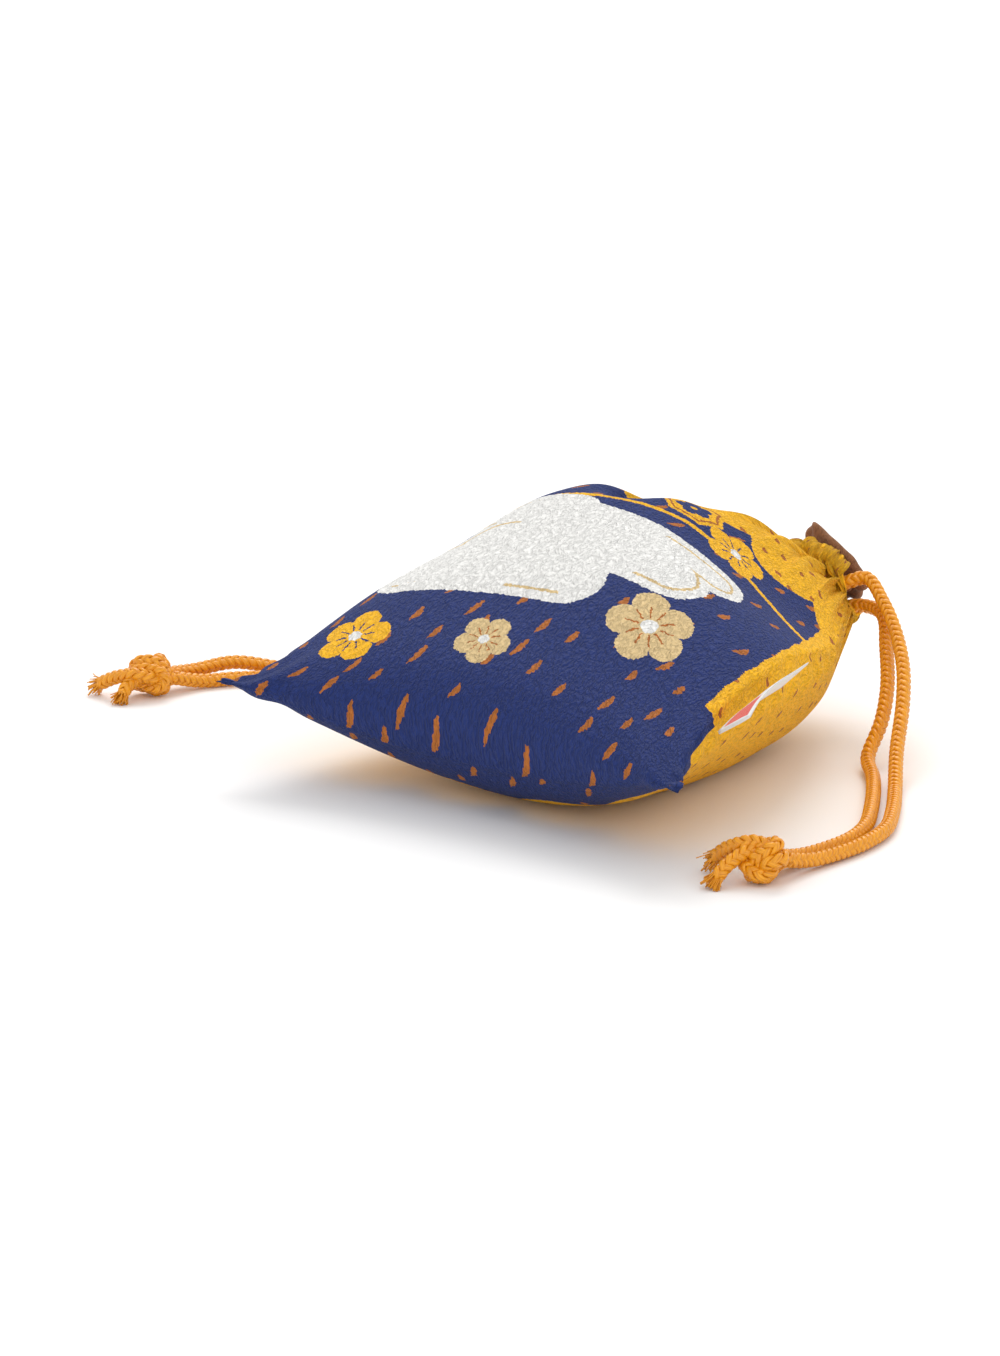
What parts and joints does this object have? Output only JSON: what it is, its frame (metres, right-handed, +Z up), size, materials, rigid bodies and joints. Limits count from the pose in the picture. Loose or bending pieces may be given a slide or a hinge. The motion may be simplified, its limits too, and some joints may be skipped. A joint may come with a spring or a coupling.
{
  "type": "drawstring pouch",
  "caption": "Small kinchaku pouch of printed crepe, filled out and lying on its back, neck gathered shut on two knotted drawcords, with a brown lining frill and a folded side tag",
  "frame": {"origin": "middle of the footprint of the pouch without its free cords, on the floor", "axes": "+Z up, +Y from the folded bottom edge to the gathered neck, +X to the pouch's right seen from above with the neck away"},
  "size_m": [0.2005, 0.1312, 0.0536],
  "materials": {
    "crepe": "printed crepe, navy, golden yellow and white",
    "lining": "plain brown woven lining",
    "cord": "golden braided cord, satin",
    "ribbon": "white woven ribbon with a red end"
  },
  "bodies": {
    "root": {"outer_cloth": "crepe", "lining_cloth": "lining", "drawcord_right": "cord", "drawcord_left": "cord", "knot_right": "cord", "knot_left": "cord", "side_tag": "ribbon"}
  },
  "joints": []
}
